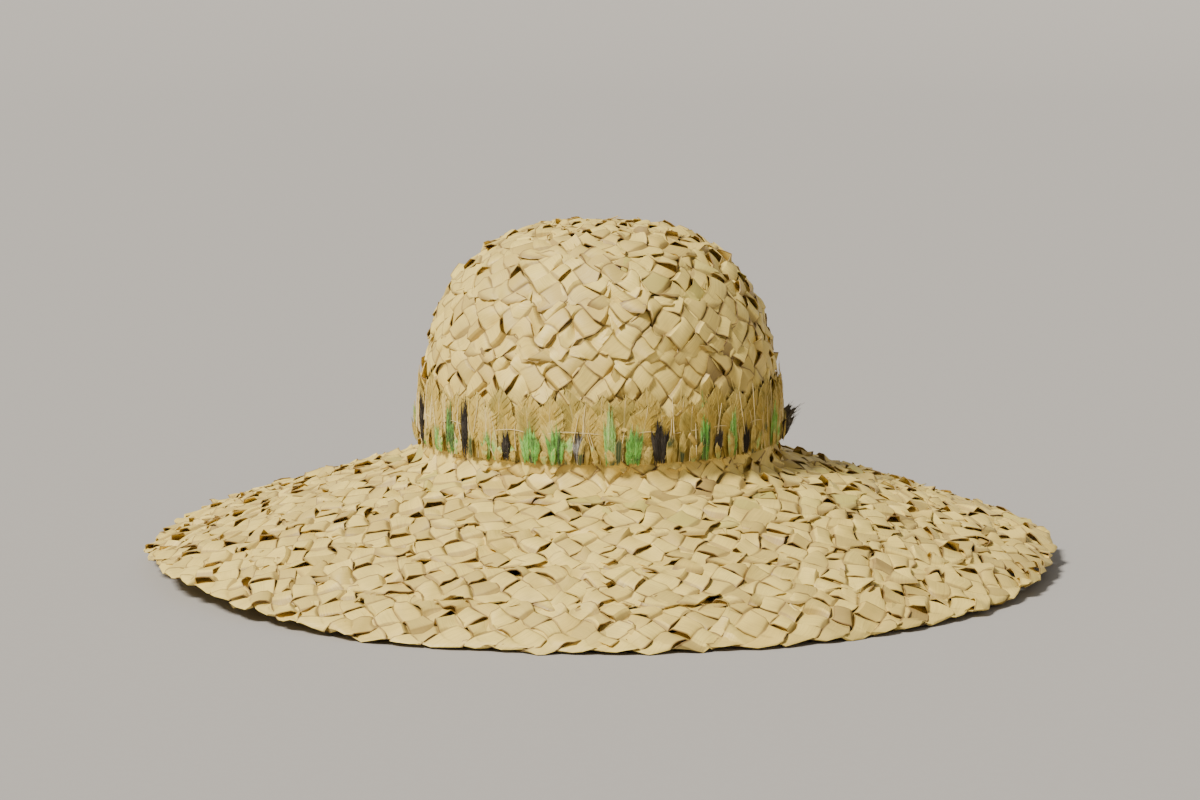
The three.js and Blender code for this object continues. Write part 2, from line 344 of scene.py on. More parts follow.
class CapelinePlait(bpy.types.PropertyGroup):
    """How the leaf strips are plaited, and their colours."""

    crown_rows: count_prop("Crown Rows", "Rows from the mouth to the top, the round tip included", 6)
    brim_rows: count_prop("Brim Rows", "Rows from mouth to rim", 5)
    overlap: length_prop("Row Overlap", "How far a row lies over the next one", 0.0070)
    leaf: length_prop("Leaf", "Thickness of a leaf strip", 0.00036)
    cover: share_prop("Cover", "Width of a strip as a share of the room it has", 1.01)
    uneven: number_prop("Uneven", "How far strips wander and change width, in steps of the plait", 0.085)
    lift: length_prop("Lift", "How far a strip rises and sinks at a crossing", 0.00098)
    cup: length_prop("Cup", "Swell of a strip's middle at a crossing", 0.0004)
    tilt: length_prop("Tilt", "How far the edges of a strip stand up or down at random", 0.0011)
    shingle: length_prop("Shingle", "How far the edges of a row stand out or in where rows overlap", 0.0006)
    notch: share_prop("Notch", "Depth of the scallops between folds, as a share of half a row", 0.17)
    rim_calm: share_prop("Rim Calm", "How much neater the folds of the rim lie than those of a seam", 0.5)
    tip_radius: length_prop("Tip Radius", "Round woven patch on top of the crown", 0.036)
    tip_strip: length_prop("Tip Strip", "Room of a strip in the tip", 0.0088)
    slivers: count_prop("Slivers", "Loose leaf ends along the seams of one wall", 150)
    stain_angle: angle_prop("Stain Angle", "Middle of the stained stretch of the brim's outer seam", -141)
    stain_reach: angle_prop("Stain Reach", "Half length of the stained stretch", 33)
    pale: colour_prop("Pale Leaf", "The brightest strips and facets", (0.91, 0.70, 0.185))
    straw: colour_prop("Straw Leaf", "Most of the strips", (0.75, 0.54, 0.13))
    tan: colour_prop("Tan Leaf", "The darker strips and facets, veins and blotches", (0.49, 0.36, 0.10))
    # Rust is a few facets' own tone, and also the colour of the painted shade in seams, notches and dives and
    # of the shadow lines along leaf margins
    rust: colour_prop("Rust Leaf", "A few facets, margins, seams and gaps of the plait", (0.19, 0.107, 0.042))
    sage: colour_prop("Sage Leaf", "A few strips and stretches that stayed green", (0.58, 0.49, 0.11))
    stain: colour_prop("Stain", "Grey green stain along the brim's outer seam", (0.10, 0.095, 0.045))


class CapelineFeathers(bpy.types.PropertyGroup):
    """Sizes and colours of the feather band."""

    foot: length_prop("Foot", "Start of the feathers above the crown's foot", 0.001)
    around: count_prop("Around", "Golden feathers in one ring", 46)
    rise: length_prop("Rise", "Length of a golden feather", 0.033)
    width: length_prop("Width", "Width of a golden feather", 0.0155)
    sheet: length_prop("Sheet", "Thickness of a feather's vane", 0.00014)
    quills: count_prop("Quills", "Bare shafts among the feathers", 120)
    fringe: count_prop("Fringe", "Small feathers at the foot", 130)
    fringe_rise: length_prop("Fringe Rise", "Length of the small feathers", 0.013)
    thread_height: length_prop("Thread Height", "Binding thread above the crown's foot", 0.016)
    thread: length_prop("Thread", "Radius of the binding thread", 0.0002)
    gold: colour_prop("Gold", "Golden feathers", (0.54, 0.37, 0.055))
    olive: colour_prop("Olive", "Darker golden feathers", (0.33, 0.245, 0.038))
    buff: colour_prop("Buff", "Edges of the golden feathers and the palest of them", (0.70, 0.54, 0.15))
    shaft: colour_prop("Shaft", "Shafts and binding thread", (0.72, 0.58, 0.27))
    moss: colour_prop("Moss", "Darkest green feathers", (0.04, 0.075, 0.02))
    green: colour_prop("Green", "Bright green feathers", (0.19, 0.60, 0.08))
    lime: colour_prop("Lime", "Palest green feathers", (0.50, 0.66, 0.22))
    black: colour_prop("Black", "Black tufts", (0.028, 0.020, 0.014))
    slate: colour_prop("Slate", "Worn black tufts", (0.085, 0.068, 0.048))
    white: colour_prop("White", "A white tip among the black", (0.62, 0.60, 0.55))


class CapelineStudio(bpy.types.PropertyGroup):
    """Camera, floor and light."""

    elevation: angle_prop("Elevation", "Camera's height above the horizon", 8)
    distance: length_prop("Distance", "Camera to hat", 1.7)
    aim: share_prop("Aim", "Height that the camera looks at, as a share of the hat's", 0.47)
    fill: share_prop("Fill", "Share of the picture's width that the hat takes", 0.755)
    floor_radius: length_prop("Floor Radius", "Flat part of the round floor", 5.0)
    sweep: length_prop("Sweep", "Radius of the bend from floor to backdrop", 6.0)
    slope: angle_prop("Slope", "Slope of the backdrop", 30)
    floor: colour_prop("Floor", "Floor and backdrop", (0.39, 0.37, 0.345))
    floor_grain: colour_prop("Floor Grain", "Darker grain of the floor", (0.30, 0.28, 0.25))
    key: number_prop("Key", "Strength of the main light", 6.0)
    key_from: bpy.props.FloatVectorProperty(
        name="Key From",
        description="Where the main light comes from",
        default=(-0.80, -0.70, 1.15),
        subtype="DIRECTION",
    )
    key_colour: colour_prop("Key Colour", "Tint of the main light", (1.0, 0.965, 0.90))
    softness: angle_prop("Softness", "Width of the main light", 15)
    fill_light: number_prop("Fill Light", "Strength of the light from all round", 0.33)
    fill_colour: colour_prop("Fill Colour", "Tint of the light from all round", (1.0, 0.98, 0.95))


# The hat's form


def turn_between(angle, middle):
    """How far two angles lie apart, either way round."""
    return np.abs((angle - middle + math.pi) % FULL_TURN - math.pi)


class WallLine:
    """The line that the middle of a wall follows in section, measured along its length."""

    def __init__(self, radius, height, face):
        keep = np.concatenate([[True], np.hypot(np.diff(radius), np.diff(height)) > WELD])
        self.radius, self.height = radius[keep], height[keep]
        steps = np.hypot(np.diff(self.radius), np.diff(self.height))
        self.along = np.concatenate([[0], np.cumsum(steps)])
        self.length = self.along[-1]
        self.run = np.gradient(self.radius, self.along)
        self.rise = np.gradient(self.height, self.along)
        self.face = face  # 1 where the outer side is on the left of the line, -1 where it is on the right

    def at(self, along, out):
        """Radius and height at a distance along the line and out of it. Past its ends it runs straight on."""
        near = np.clip(along, 0, self.length)
        run, rise = np.interp(near, self.along, self.run), np.interp(near, self.along, self.rise)
        norm = np.hypot(run, rise)
        run, rise = run / norm, rise / norm
        radius = np.interp(near, self.along, self.radius) + run * (along - near) - self.face * rise * out
        height = np.interp(near, self.along, self.height) + rise * (along - near) + self.face * run * out
        return radius, height


class HatForm:
    """The round hat's walls, and the oval and the waves that turn it into this one."""

    def __init__(self, shape):
        self.shape = shape
        self.mouth_half = ((shape.crown_width - shape.wall) / 2, (shape.crown_length - shape.wall) / 2)
        self.rim_half = (shape.rim_width / 2, shape.rim_length / 2)
        self.mouth_radius = sum(self.mouth_half) / 2
        self.rim_radius = sum(self.rim_half) / 2
        self.crown_face = shape.wall / 2  # from the middle of the crown's wall to its outside
        self.crown = self.crown_line()
        self.brim = self.brim_line()

    def crown_line(self):
        shape = self.shape
        turn = np.linspace(0, math.pi / 2, DOME_POINTS)
        power = 2 / shape.dome_fullness
        shoulder = shape.crown_foot + shape.crown_side
        dome = shape.crown_top - shape.wall / 2 - shoulder
        radius = self.mouth_radius * np.clip(np.cos(turn), 0, 1) ** power
        radius[-1] = 0
        height = shoulder + dome * np.sin(turn) ** power
        return WallLine(np.append(self.mouth_radius, radius), np.append(shape.crown_foot, height), face=-1)

    def brim_line(self):
        shape = self.shape
        turn_height = shape.crown_foot - shape.mouth_lip
        bend = np.linspace(math.pi, 1.5 * math.pi - shape.fall_at_crown, MOUTH_POINTS)
        turn_radius = self.mouth_radius + shape.mouth_turn * (1 + np.cos(bend))
        turn_line = turn_height + shape.mouth_turn * np.sin(bend)
        start = np.array([turn_radius[-1], turn_line[-1]])
        rim = self.rim_radius - shape.wall / 2 * math.sin(shape.fall_at_rim)
        end = np.array([rim, shape.rim_edge / 2])
        middle_radius = (start[0] + end[0]) / 2
        middle = np.array([middle_radius, end[1] + (end[0] - middle_radius) * math.tan(shape.fall_at_rim)])
        t = np.linspace(0, 1, SLOPE_POINTS)[:, None]
        slope = (1 - t) ** 2 * start + 2 * t * (1 - t) * middle + t**2 * end
        radius = np.concatenate([[self.mouth_radius], turn_radius, slope[:, 0]])
        height = np.concatenate([[shape.crown_foot], turn_line, slope[:, 1]])
        return WallLine(radius, height, face=1)

    def lift(self, angle):
        """How far the waves lift the rim at an angle."""
        total = 0
        waves = zip(self.shape.wave_angles, self.shape.wave_reaches, self.shape.wave_lifts)
        for middle, reach, height in waves:
            turn = turn_between(angle, middle)
            total = total + height / 2 * (1 + np.cos(math.pi * np.minimum(turn / reach, 1)))
        return total

    def place(self, angle, radius, height):
        """Points of the round hat, moved to their places on the oval one."""
        inside = np.minimum(radius / self.mouth_radius, 1)
        across = np.maximum((radius - self.mouth_radius) / (self.rim_radius - self.mouth_radius), 0)
        half_width, half_length = (
            inside * mouth + across * (rim - mouth) for mouth, rim in zip(self.mouth_half, self.rim_half)
        )
        x, y = half_width * np.sin(angle), -half_length * np.cos(angle)
        return np.stack([x, y, height + self.lift(angle) * across**2], axis=-1)

    def on_wall(self, line, angle, along, out):
        """Points on a wall, by angle, distance along its line and distance out of its middle."""
        return self.place(angle, *line.at(along, out))


# Meshes


def grid_sheet(bm, columns, rows):
    """A new sheet of quads: its vertices and, for each, its place across (-1 to 1) and its row's number."""
    made = bmesh.ops.create_grid(bm, x_segments=columns, y_segments=rows, size=1)["verts"]
    spots = np.array([vertex.co[:2] for vertex in made])
    return made, spots[:, 0], np.rint((spots[:, 1] + 1) / 2 * rows).astype(int)


def set_sheet(verts, points, *layers):
    """Moves a sheet's vertices to their points and writes its layers, each a pair of layer and values."""
    for vertex, point in zip(verts, points.tolist()):
        vertex.co = point
    for layer, values in layers:
        for vertex, value in zip(verts, values.tolist()):
            vertex[layer] = value


def finished_piece(name, bm, material, thickness=0.0):
    """The bmesh as an object at the origin, with its sheets given a thickness."""
    mesh = bpy.data.meshes.new(name)
    bm.to_mesh(mesh)
    bm.free()
    piece = bpy.data.objects.new(name, mesh)
    bpy.context.scene.collection.objects.link(piece)
    if thickness:
        solidify = piece.modifiers.new("Thickness", "SOLIDIFY")
        solidify.thickness = thickness
        solidify.offset = 0
        graph = bpy.context.evaluated_depsgraph_get()
        piece.data = bpy.data.meshes.new_from_object(piece.evaluated_get(graph))
        piece.data.name = name
        piece.modifiers.clear()
        bpy.data.meshes.remove(mesh)
    piece.data.shade_smooth()
    piece.data.set_sharp_from_angle(angle=SHARP)
    piece.data.materials.clear()
    piece.data.materials.append(material)
    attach(piece, "root")
    return piece


# The plait


class LeafMesh:
    """A mesh of leaf strips, with the layers that their material reads."""

    def __init__(self):
        self.bm = bmesh.new()
        self.layers = [self.bm.verts.layers.float_vector.new(name) for name in ("leaf", "shade", "depth")]

    def set_strip(self, verts, points, *, length, across, own, tint, facet, seam=0, dip=0, stain=0):
        """Moves a strip to its points and writes its layers: its place along and across the strip and its own
        number; its tint, its facet's random tone and how near it is to a seam; how deep it dives and how
        stained it is. Nearness to a seam and to a dive sets painted shade in the material."""
        values = np.broadcast_arrays(length, across, own, tint, facet, seam, dip, stain, 0.0)
        rows = np.stack(values, 1).reshape(len(verts), len(self.layers), 3)
        set_sheet(verts, points, *zip(self.layers, rows.swapaxes(0, 1)))


def over_step_from(step):
    """The first step from this one on at which a strand lies over another."""
    step = int(step)
    while step % ROUND_TRIP not in OVER_STEPS:
        step += 1
    return step


def dived(part):
    """How far a strand has passed from one crossing's level to the next one's, by its place between them."""
    share = np.clip((part - 0.5) / DIVE + 0.5, 0, 1)
    return share * share * (3 - 2 * share)


def level_at(along):
    """How far over or under a strand lies, from -1 to 1: level at a crossing, round at a fold."""
    step = np.floor(along).astype(int)
    part = along - step
    here, following = CROSSINGS[step % ROUND_TRIP], CROSSINGS[(step + 1) % ROUND_TRIP]
    level = here + (following - here) * dived(part)
    level = np.where(here == 0, following * part**FOLD_ROUND, level)
    return np.where(following == 0, here * (1 - part) ** FOLD_ROUND, level)


def strand_leaves(rng, strand, steps):
    """First and last step of each leaf of a strand. Each runs on for a step under the start of the next."""
    follower = (strand - steps // 2) % STRANDS
    start = over_step_from(-2 * strand)
    end = over_step_from(-2 * follower) - 2 * (strand - follower) + steps
    cuts = [start]
    while True:
        cut = over_step_from(cuts[-1] + rng.integers(*LEAF_STEPS))
        if cut > end - LAST_LEAF:
            return zip(cuts, [*cuts[1:], end])
        cuts.append(cut)


def strip_lines(first, last):
    """Places of a strip's cross lines, in steps, with more of them at its folds."""
    whole = np.arange(first, last + 1)
    folds = whole[whole % STRANDS == 0]
    lines = np.append(np.add.outer(whole, STATIONS), np.add.outer(folds, FOLD_STATIONS))
    return np.append(np.sort(lines), last + 1)


def weave_wander(rng, steps, size):
    """How far the plait strays from an even one, along and over the row: smooth, and closed round the hat."""
    shape = (2, WANDER.waves)
    turns = rng.integers(steps // WANDER.longest, steps // WANDER.shortest, shape)[..., None]
    slants = rng.uniform(-WANDER.slant, WANDER.slant, shape)[..., None]
    phases = rng.uniform(0, FULL_TURN, shape)[..., None]

    def shift(around, over):
        waves = np.sin(FULL_TURN * turns * around / steps + slants * over + phases)
        return waves.sum(1) * size

    return shift


def plait_row(name, form, line, rows, row, look, material, seed, stained_side=0, is_rim=False):
    """One closed row of flat plait: five strands of leaf that cross over and under and fold at both edges."""
    rng = np.random.default_rng(seed)
    pitch = line.length / rows
    near, width = row * pitch - look.overlap, pitch + look.overlap
    step_size = width / STRANDS
    radius, _ = line.at(near + width / 2, 0)
    steps = 2 * round(math.pi * float(radius) / step_size)
    wander = weave_wander(rng, steps, look.uneven)

    mesh = LeafMesh()
    # A strand is cut into leaves when its turn comes.
    leaves = ((strand, *leaf) for strand in range(STRANDS) for leaf in strand_leaves(rng, strand, steps))
    for strand, first, last in leaves:
        lines = strip_lines(first, last)
        verts, across, number = grid_sheet(mesh.bm, STRIP_COLUMNS, len(lines) - 1)
        at_line = lines[number]
        nodes = np.arange(first - 1, last + 4)
        # Random values that run from step to step: the strip's width, its course and the reach of its folds
        broad, course, fold_reach = (
            np.interp(at_line, nodes, rng.normal(0, spread, len(nodes)))
            for spread in (look.uneven * FACET.width, look.uneven, look.uneven)
        )

        # The strip lies at 45 degrees to the row. Near a fold its cross lines turn to lie along the fold.
        aside = across * look.cover / 2 * (1 + broad) + course
        fold = np.maximum(0, 1 - np.abs(at_line - STRANDS * np.rint(at_line / STRANDS)))
        along = at_line - fold * aside
        around = along - aside + 2 * strand
        over = STRANDS - np.abs((along + aside) % ROUND_TRIP - STRANDS)
        shift_around, shift_over = wander(around, over)
        even_side = over / STRANDS * 2 - 1
        to_rim = np.clip(even_side, 0, 1) * is_rim
        ragged = 1 - look.rim_calm * to_rim
        reach = 1 + ragged * fold * (fold_reach - look.notch * across**2)
        side = even_side * reach + ragged * shift_over * 2 / STRANDS

        # Over and under, with each crossing a little different
        level = level_at(at_line)
        crossing = np.rint(along).astype(int)
        facet = crossing - first + 1
        off = along - crossing
        plate = np.clip((0.5 - np.abs(off)) / FACET.fade, 0, 1)
        lean, pitched, push, curl = rng.normal(0, look.tilt, (4, len(nodes)))[:, facet]
        tilted = lean * across + pitched * FACET.pitch * off
        tilted = tilted + push * FACET.push + curl * FACET.curl * across**2
        joint = np.clip(at_line - last + 0.5, 0, 1) - np.clip(first + 1.5 - at_line, 0, 1)
        edge_side = rng.normal(line.face, FACET.sides, len(nodes))[facet]
        out = (
            look.lift * level
            + look.cup * level * (1 - across**2) * (1 - 2 * off**2)
            + plate * tilted
            + look.leaf * JOINT_LIFT * joint
            + look.shingle * (edge_side * np.sign(side) * np.abs(side) ** 3)
        )
        angle = FULL_TURN * (around + shift_around) / steps
        points = form.on_wall(line, angle, near + (side + 1) / 2 * width, out)
        points[:, 2] = np.maximum(points[:, 2], look.leaf)

        stain = 0
        if stained_side:
            stretch = turn_between(angle, look.stain_angle) / look.stain_reach
            towards = np.clip(side * stained_side * STAIN_GROWTH - STAIN_CLEAN, 0, 1)
            stain = np.clip(1 - stretch**2, 0, 1) * towards
        # The seam and dip values darken the leaf towards row seams and towards dives under the next strand:
        # painted shade
        mesh.set_strip(
            verts,
            points,
            length=along * step_size * math.sqrt(2),
            across=across,
            tint=rng.random(),
            facet=rng.random(len(nodes))[facet],
            own=rng.random(),
            seam=np.clip((np.abs(even_side) - SEAM_START) / (1 - SEAM_START), 0, 1) * (1 - to_rim),
            dip=np.clip((np.abs(off) - DIP_START) / (0.5 - DIP_START), 0, 1) * (1 - fold),
            stain=stain,
        )
    return finished_piece(name, mesh.bm, material, look.leaf)


def crown_tip(name, form, look, material):
    """The round patch on top of the crown, where strips of two directions are woven over and under."""
    rng = np.random.default_rng(SEEDS[name])
    room = look.tip_strip
    count = math.ceil(look.tip_radius / room)
    cos, sin = math.cos(TIP_TURN), math.sin(TIP_TURN)
    mesh = LeafMesh()
    lanes = ((turned, lane) for turned in (False, True) for lane in range(-count, count))
    for turned, lane in lanes:
        middle = (lane + 0.5) * room
        if abs(middle) > look.tip_radius - room * TIP_MARGIN:
            continue
        reach = math.sqrt(look.tip_radius**2 - middle**2)
        first, last = math.floor(-reach / room), math.ceil(reach / room)
        lines = np.append(np.add.outer(np.arange(first, last), STATIONS), last)
        verts, across, number = grid_sheet(mesh.bm, STRIP_COLUMNS, len(lines) - 1)
        along = lines[number]
        step = np.floor(along - 0.5).astype(int)
        sign = np.where((step + lane + turned) % 2 == 0, 1.0, -1.0)
        level = sign * (1 - 2 * dived(along - 0.5 - step))
        facet = np.rint(along - 0.5).astype(int) - first + 1
        nodes = last - first + 3
        lean, broad, sway = rng.normal(0, 1, (3, nodes))[:, facet]
        out = look.lift * level + look.cup * level * (1 - across**2)
        out += look.tilt * lean * across * np.abs(level)

        length = np.clip(along * room, -reach, reach)
        aside = middle + room * (across / 2 * look.cover * (1 + look.uneven * broad) + look.uneven * sway)
        x, y = (aside, length) if turned else (length, aside)
        x, y = x * cos - y * sin, x * sin + y * cos
        from_top = form.crown.length - np.hypot(x, y)
        # The dip value darkens the leaf where a strip dives under the crossing one: painted shade
        mesh.set_strip(
            verts,
            form.on_wall(form.crown, np.arctan2(x, -y), from_top, out - look.shingle),
            length=length,
            across=across,
            tint=rng.uniform(*TIP_TINTS),
            facet=rng.random(nodes)[facet],
            own=rng.random(),
            dip=1 - np.abs(level),
        )
    return finished_piece(name, mesh.bm, material, look.leaf)


def leaf_slivers(name, form, line, rows, look, material):
    """Loose leaf ends that stand out of the seams, on both faces of a wall."""
    rng = np.random.default_rng(SEEDS[name])
    mesh = LeafMesh()
    for _ in range(look.slivers):
        verts, across, number = grid_sheet(mesh.bm, 1, SLIVER.segments)
        up = number / SLIVER.segments
        length, breadth = rng.uniform(*SLIVER.lengths), rng.uniform(*SLIVER.widths)
        heading, face = rng.uniform(0, FULL_TURN), rng.choice([-1, 1])
        seam = rng.integers(1, rows) * line.length / rows
        radius, _ = line.at(seam, 0)
        aside = across * breadth / 2 * (1 - SLIVER.narrowing * up)
        over = seam + rng.normal(0, SLIVER.scatter)
        over = over + up * length * math.sin(heading) + aside * math.cos(heading)
        around = up * length * math.cos(heading) - aside * math.sin(heading)
        out = face * (SLIVER.root + rng.uniform(*SLIVER.tip) * up**SLIVER.bend)
        angle = rng.uniform(0, FULL_TURN) + around / float(radius)
        points = form.on_wall(line, angle, over, out)
        points[:, 2] = np.maximum(points[:, 2], look.leaf)
        own = rng.random()
        mesh.set_strip(verts, points, length=up * length, across=across, own=own, tint=own, facet=own)
    return finished_piece(name, mesh.bm, material, look.leaf * SLIVER.thickness)


# Feathers


@dataclass
class Feather:
    """Where one feather stands on the crown's wall and how it grows."""

    form: HatForm
    angle: float
    foot: float  # above the crown's foot, along its wall
    rise: float
    width: float
    out: float  # from the middle of the wall
    lean: float = 0.0  # of the tip, out of the wall
    sway: float = 0.0  # of the tip, to one side
    tint: tuple = (0.5, 0.5)  # at foot and tip
    broadest: float = 0.62  # as a share of the rise
    base: float = 0.45  # width of the foot, as a share of the width
    twist: float = 0.0  # about the shaft

    def half_width(self, up):
        """Half the vane's width: narrow at the foot, full below the tip, round at the end."""
        grown = self.base + (1 - self.base) * np.sin(np.clip(up / self.broadest, 0, 1) * math.pi / 2)
        past = np.clip((up - self.broadest) / (1 - self.broadest), 0, 1)
        return self.width / 2 * grown * np.sqrt(np.clip(1 - past**VANE.tip_power, VANE.tip_least, 1))

    def points(self, aside, up, proud=0.0):
        """Points by distance aside of the shaft, share of the rise and distance proud of the blade."""
        swell = VANE.swell_up * np.sin(math.pi * np.clip(up, 0, 1))
        swell = swell + VANE.swell_across * (1 - (2 * aside / self.width) ** 2)
        aside = aside + self.sway * up**2
        out = self.out + swell + self.lean * up**2 + proud + aside * math.sin(self.twist)
        angle = self.angle + aside * math.cos(self.twist) / self.form.mouth_radius
        return self.form.on_wall(self.form.crown, angle, self.foot + self.rise * up, out)

    def blade(self, across, up, own):
        """Values of the blade layer: place across, place up and tint."""
        tint = np.interp(up, [0, 1], self.tint) + own
        return np.stack([across, up, np.clip(tint, 0, 1)], 1)


class FeatherMesh:
    """A mesh of feathers, with the blade layer that their material reads. Its tint is -1 on a shaft."""

    def __init__(self, rng):
        self.rng = rng
        self.bm = bmesh.new()
        self.layer = self.bm.verts.layers.float_vector.new("blade")

    def add_vane(self, feather, columns, rows):
        """The closed middle of a feather."""
        verts, across, number = grid_sheet(self.bm, columns, rows)
        up = number / rows
        at_edge = (np.abs(across) > VANE.edge) * (up > VANE.edge_foot)
        ragged = 1 + self.rng.normal(0, VANE.ragged, len(verts)) * at_edge
        aside = across * feather.half_width(up) * VANE.width * ragged
        climb = up * (1 - VANE.drop * across**2) * VANE.rise
        blade = feather.blade(across, up, self.rng.normal(0, VANE.tint))
        set_sheet(verts, feather.points(aside, climb), (self.layer, blade))

    def add_barbs(self, feather, count, breadth=0.0007, stray=0.3):
        """Loose barbs that stand out of both edges of a feather and of its tip."""
        for side in (-1, 1):
            for number in range(count):
                start = BARB.first + BARB.span * (number + self.rng.random()) / count
                verts, across, row = grid_sheet(self.bm, 1, BARB.segments)
                out = row / BARB.segments
                climb = self.rng.uniform(*BARB.climbs)
                reach = feather.half_width(min(start + climb, BARB.highest))
                reach = reach * self.rng.uniform(BARB.reach, BARB.reach + stray)
                outward = side * (BARB.root + (1 - BARB.root) * out)
                thick = across * breadth / 2 * (1 - BARB.narrowing * out) / feather.rise
                up = start + climb * out**BARB.climb_power + thick
                proud = BARB.proud + self.rng.uniform(0, BARB.prouder) * out**2
                blade = feather.blade(outward, up, self.rng.normal(0, BARB.tint))
                set_sheet(verts, feather.points(outward * reach, up, proud), (self.layer, blade))

    def add_shaft(self, feather, length, radius=SHAFT.radius):
        """The pale rib along the middle of a feather, a thin spike."""
        made = bmesh.ops.create_cone(
            self.bm, cap_ends=True, segments=SHAFT.sides, radius1=radius, radius2=radius * SHAFT.tip, depth=1
        )["verts"]
        spots = np.array([vertex.co for vertex in made])
        up = (spots[:, 2] + 0.5) * length
        blade = np.stack([np.zeros(len(made)), up, np.full(len(made), -1.0)], 1)
        set_sheet(made, feather.points(spots[:, 0], up, SHAFT.proud + spots[:, 1]), (self.layer, blade))


def golden_ring(name, form, look, material):
    """One ring of golden feathers, with bare quills between them in the front one."""
    rng = np.random.default_rng(SEEDS[name])
    mesh = FeatherMesh(rng)
    ring = GOLDEN_RINGS[name]
    width, out = look.width * ring.width, form.crown_face + ring.out
    for number in range(look.around):
        feather = Feather(
            form,
            angle=FULL_TURN * (number + ring.turn + rng.normal(0, GOLDEN.place)) / look.around,
            foot=look.foot,
            rise=look.rise * ring.rise * (1 + np.clip(rng.normal(0, GOLDEN.rise), *GOLDEN.rise_limits)),
            width=width * (1 + rng.normal(0, GOLDEN.width)),
            out=out + rng.uniform(0, GOLDEN.out),
            lean=abs(rng.normal(*GOLDEN.lean)),
            sway=rng.normal(0, GOLDEN.sway),
            tint=np.clip(rng.normal(GOLDEN.tints, GOLDEN.tint_spread), 0, 1),
            broadest=rng.uniform(*GOLDEN.broadest),
        )
        mesh.add_vane(feather, *GOLDEN.vane)
        mesh.add_barbs(feather, GOLDEN.barbs)
        mesh.add_shaft(feather, rng.uniform(*GOLDEN.shaft))
    for _ in range(look.quills if ring.has_quills else 0):
        quill = Feather(
            form,
            angle=rng.uniform(0, FULL_TURN),
            foot=look.foot + rng.uniform(*QUILL.foot),
            rise=rng.uniform(*QUILL.rise),
            width=width,
            out=out + QUILL.out,
            sway=rng.normal(0, GOLDEN.sway),
        )
        mesh.add_shaft(quill, length=1.0, radius=QUILL.radius)
    return finished_piece(name, mesh.bm, material, look.sheet)


def foot_fringe(name, form, look, material):
    """Small narrow feathers in front of the golden ones' feet."""
    rng = np.random.default_rng(SEEDS[name])
    mesh = FeatherMesh(rng)
    for number in range(look.fringe):
        feather = Feather(
            form,
            angle=FULL_TURN * (number + rng.normal(0, FRINGE.place)) / look.fringe,
            foot=look.foot,
            rise=look.fringe_rise * rng.uniform(*FRINGE.rise),
            width=rng.uniform(*FRINGE.widths),
            out=form.crown_face + rng.choice(FRINGE.depths) + rng.uniform(0, FRINGE.out),
            lean=rng.uniform(0, FRINGE.lean),
            sway=rng.normal(0, FRINGE.sway),
            tint=(rng.random(), rng.random()),
            broadest=FRINGE.broadest,
        )
        mesh.add_vane(feather, *FRINGE.vane)
        mesh.add_barbs(feather, FRINGE.barbs, FRINGE.barb_width)
    return finished_piece(name, mesh.bm, material, look.sheet)


def binding_thread(name, form, look, material):
    """The thread that ties the feathers to the crown, a closed ring that sways a little."""
    rng = np.random.default_rng(SEEDS[name])
    mesh = FeatherMesh(rng)
    verts, across, number = grid_sheet(mesh.bm, THREAD.sides, THREAD.points)
    angle, around = FULL_TURN * number / THREAD.points, math.pi * across
    waves = [
        (rng.integers(*THREAD.turns), rng.uniform(0, FULL_TURN), rng.normal(0, THREAD.size))
        for _ in range(THREAD.waves)
    ]
    sway = sum(size * np.sin(turn * angle + start) for turn, start, size in waves)
    along = look.thread_height + sway + look.thread * np.sin(around)
    out = form.crown_face + THREAD.out + sway * THREAD.in_and_out + look.thread * np.cos(around)
    blade = np.outer(np.ones(len(verts)), (0, 0, -1.0))
    set_sheet(verts, form.on_wall(form.crown, angle, along, out), (mesh.layer, blade))
    bmesh.ops.remove_doubles(mesh.bm, verts=mesh.bm.verts[:], dist=WELD)
    bmesh.ops.recalc_face_normals(mesh.bm, faces=mesh.bm.faces[:])
    return finished_piece(name, mesh.bm, material)


def plume_nodes(tint):
    """Names of the solids of one colour's plumes, in their order."""
    names = [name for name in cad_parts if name.startswith(f"plume_{tint}_")]
    return sorted(names, key=lambda name: int(name.rsplit("_", 1)[1]))


def plume_place(form, node):
    """Where a plume's solid stands: its angle, foot, rise, width and the lean of its tip."""
    points = np.array([vertex.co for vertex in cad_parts[node].data.vertices])
    height = points[:, 2]
    round_x, round_y = points[:, 0] / form.mouth_half[0], -points[:, 1] / form.mouth_half[1]
    angle, radius = np.arctan2(round_x, round_y), np.hypot(round_x, round_y) * form.mouth_radius
    middle = np.arctan2(np.sin(angle).mean(), np.cos(angle).mean())
    aside = (angle - middle + math.pi) % FULL_TURN - math.pi
    tip, root = height > height.max() - PLUME_END, height < height.min() + PLUME_END
    return SimpleNamespace(
        angle=middle,
        foot=height.min() - form.shape.crown_foot,
        rise=np.ptp(height),
        width=np.ptp(aside) * form.mouth_radius,
        lean=max(radius[tip].mean() - radius[root].mean() - BAND_SWELL, 0),
    )


